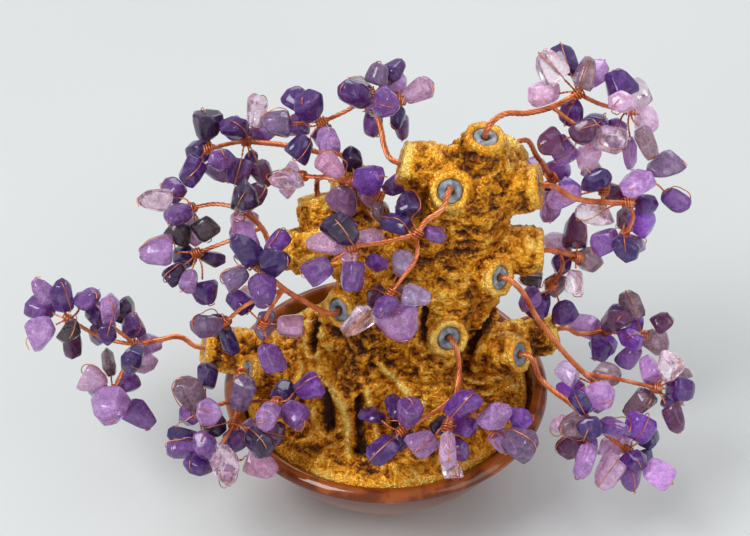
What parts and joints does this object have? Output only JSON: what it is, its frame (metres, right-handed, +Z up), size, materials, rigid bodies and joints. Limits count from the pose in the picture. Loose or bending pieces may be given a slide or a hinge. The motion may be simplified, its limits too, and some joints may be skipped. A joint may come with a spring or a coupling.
{
  "type": "gemstone tree ornament",
  "caption": "Ornamental tree of drilled amethyst chips on twisted copper sprays, set in a gold resin trunk that stands in a glazed bowl.",
  "frame": {"origin": "middle of the flat underside of the bowl's foot", "axes": "+Z up through the tree; +X to the right along the widest spread of the sprays; -Y is the front"},
  "size_m": [0.2027, 0.1069, 0.1461],
  "materials": {
    "glaze": "gloss",
    "plaster": "matte",
    "gold": "metallic paint",
    "putty": "matte",
    "copper": "enamelled copper wire",
    "amethyst": "tumbled polish"
  },
  "bodies": {
    "base": {"pot": "glaze", "plaster_bed": "plaster", "trunk_casting": "gold", "socket_putty": "putty", "wire_roots": "copper"},
    "crown_left": {"crown_left_stem": "copper", "crown_left_wires": "copper", "crown_left_stones": "amethyst"},
    "crown_top": {"crown_top_stem": "copper", "crown_top_wires": "copper", "crown_top_stones": "amethyst"},
    "crown_front": {"crown_front_stem": "copper", "crown_front_wires": "copper", "crown_front_stones": "amethyst"},
    "crown_right": {"crown_right_stem": "copper", "crown_right_wires": "copper", "crown_right_stones": "amethyst"},
    "crown_back": {"crown_back_stem": "copper", "crown_back_wires": "copper", "crown_back_stones": "amethyst"},
    "right_high": {"right_high_stem": "copper", "right_high_wires": "copper", "right_high_stones": "amethyst"},
    "right_front": {"right_front_stem": "copper", "right_front_wires": "copper", "right_front_stones": "amethyst"},
    "right_back": {"right_back_stem": "copper", "right_back_wires": "copper", "right_back_stones": "amethyst"},
    "right_low": {"right_low_stem": "copper", "right_low_wires": "copper", "right_low_stones": "amethyst"},
    "front_low": {"front_low_stem": "copper", "front_low_wires": "copper", "front_low_stones": "amethyst"},
    "limb_top": {"limb_top_stem": "copper", "limb_top_wires": "copper", "limb_top_stones": "amethyst"},
    "limb_end": {"limb_end_stem": "copper", "limb_end_wires": "copper", "limb_end_stones": "amethyst"},
    "limb_back": {"limb_back_stem": "copper", "limb_back_wires": "copper", "limb_back_stones": "amethyst"},
    "left_front": {"left_front_stem": "copper", "left_front_wires": "copper", "left_front_stones": "amethyst"},
    "far_left": {"far_left_stem": "copper", "far_left_wires": "copper", "far_left_stones": "amethyst"},
    "left_low": {"left_low_stem": "copper", "left_low_wires": "copper", "left_low_stones": "amethyst"}
  },
  "joints": [
    {"name": "crown_left_bend", "type": "hinge", "parent": "base", "child": "crown_left", "pos_m": [0.00597, 0.00086, 0.11724], "axis": [0.7714, 0.6364, 0], "range_deg": [-2, 15]},
    {"name": "crown_top_bend", "type": "hinge", "parent": "base", "child": "crown_top", "pos_m": [0.02674, -0.00265, 0.1276], "axis": [0.3299, -0.944, 0], "range_deg": [-1, 12]},
    {"name": "crown_front_bend", "type": "hinge", "parent": "base", "child": "crown_front", "pos_m": [0.01753, -0.00819, 0.1145], "axis": [-0.5788, 0.8154, 0], "range_deg": [-2, 7]},
    {"name": "crown_right_bend", "type": "hinge", "parent": "base", "child": "crown_right", "pos_m": [0.04081, -0.00262, 0.11194], "axis": [0.0755, -0.9971, 0], "range_deg": [-8, 2]},
    {"name": "crown_back_bend", "type": "hinge", "parent": "base", "child": "crown_back", "pos_m": [0.03533, 0.01054, 0.11435], "axis": [0.5693, -0.8221, 0], "range_deg": [-8, 7]},
    {"name": "right_high_bend", "type": "hinge", "parent": "base", "child": "right_high", "pos_m": [0.043, -0.0009, 0.08765], "axis": [0.5821, -0.8131, 0], "range_deg": [0, 10]},
    {"name": "right_front_bend", "type": "hinge", "parent": "base", "child": "right_front", "pos_m": [0.03123, -0.01057, 0.08546], "axis": [-0.1705, -0.9854, 0], "range_deg": [-1, 12]},
    {"name": "right_back_bend", "type": "hinge", "parent": "base", "child": "right_back", "pos_m": [0.05014, 0.0066, 0.04867], "axis": [0.2957, -0.9553, 0], "range_deg": [-12, 14]},
    {"name": "right_low_bend", "type": "hinge", "parent": "base", "child": "right_low", "pos_m": [0.03816, -0.0138, 0.05811], "axis": [-0.5571, -0.8304, 0], "range_deg": [-3, 2]},
    {"name": "front_low_bend", "type": "hinge", "parent": "base", "child": "front_low", "pos_m": [0.01757, -0.01695, 0.06818], "axis": [-0.9998, -0.0216, 0], "range_deg": [-2, 14]},
    {"name": "limb_top_bend", "type": "hinge", "parent": "base", "child": "limb_top", "pos_m": [-0.01947, 0.00778, 0.09804], "axis": [-0.5341, -0.8454, 0], "range_deg": [0, 3]},
    {"name": "limb_end_bend", "type": "hinge", "parent": "base", "child": "limb_end", "pos_m": [-0.02762, -0.00084, 0.08765], "axis": [0.1735, 0.9848, 0], "range_deg": [-10, 4]},
    {"name": "limb_back_bend", "type": "hinge", "parent": "base", "child": "limb_back", "pos_m": [-0.01174, 0.01529, 0.1033], "axis": [0.3123, 0.95, 0], "range_deg": [-5, 12]},
    {"name": "left_front_bend", "type": "hinge", "parent": "base", "child": "left_front", "pos_m": [-0.01272, -0.01716, 0.07941], "axis": [-0.1963, 0.9805, 0], "range_deg": [-7, 8]},
    {"name": "far_left_bend", "type": "hinge", "parent": "base", "child": "far_left", "pos_m": [-0.05314, -0.00269, 0.05065], "axis": [-0.0057, 1, 0], "range_deg": [-12, 14]},
    {"name": "left_low_bend", "type": "hinge", "parent": "base", "child": "left_low", "pos_m": [-0.04018, -0.01229, 0.04922], "axis": [-0.9774, 0.2114, 0], "range_deg": [-1, 8]}
  ]
}
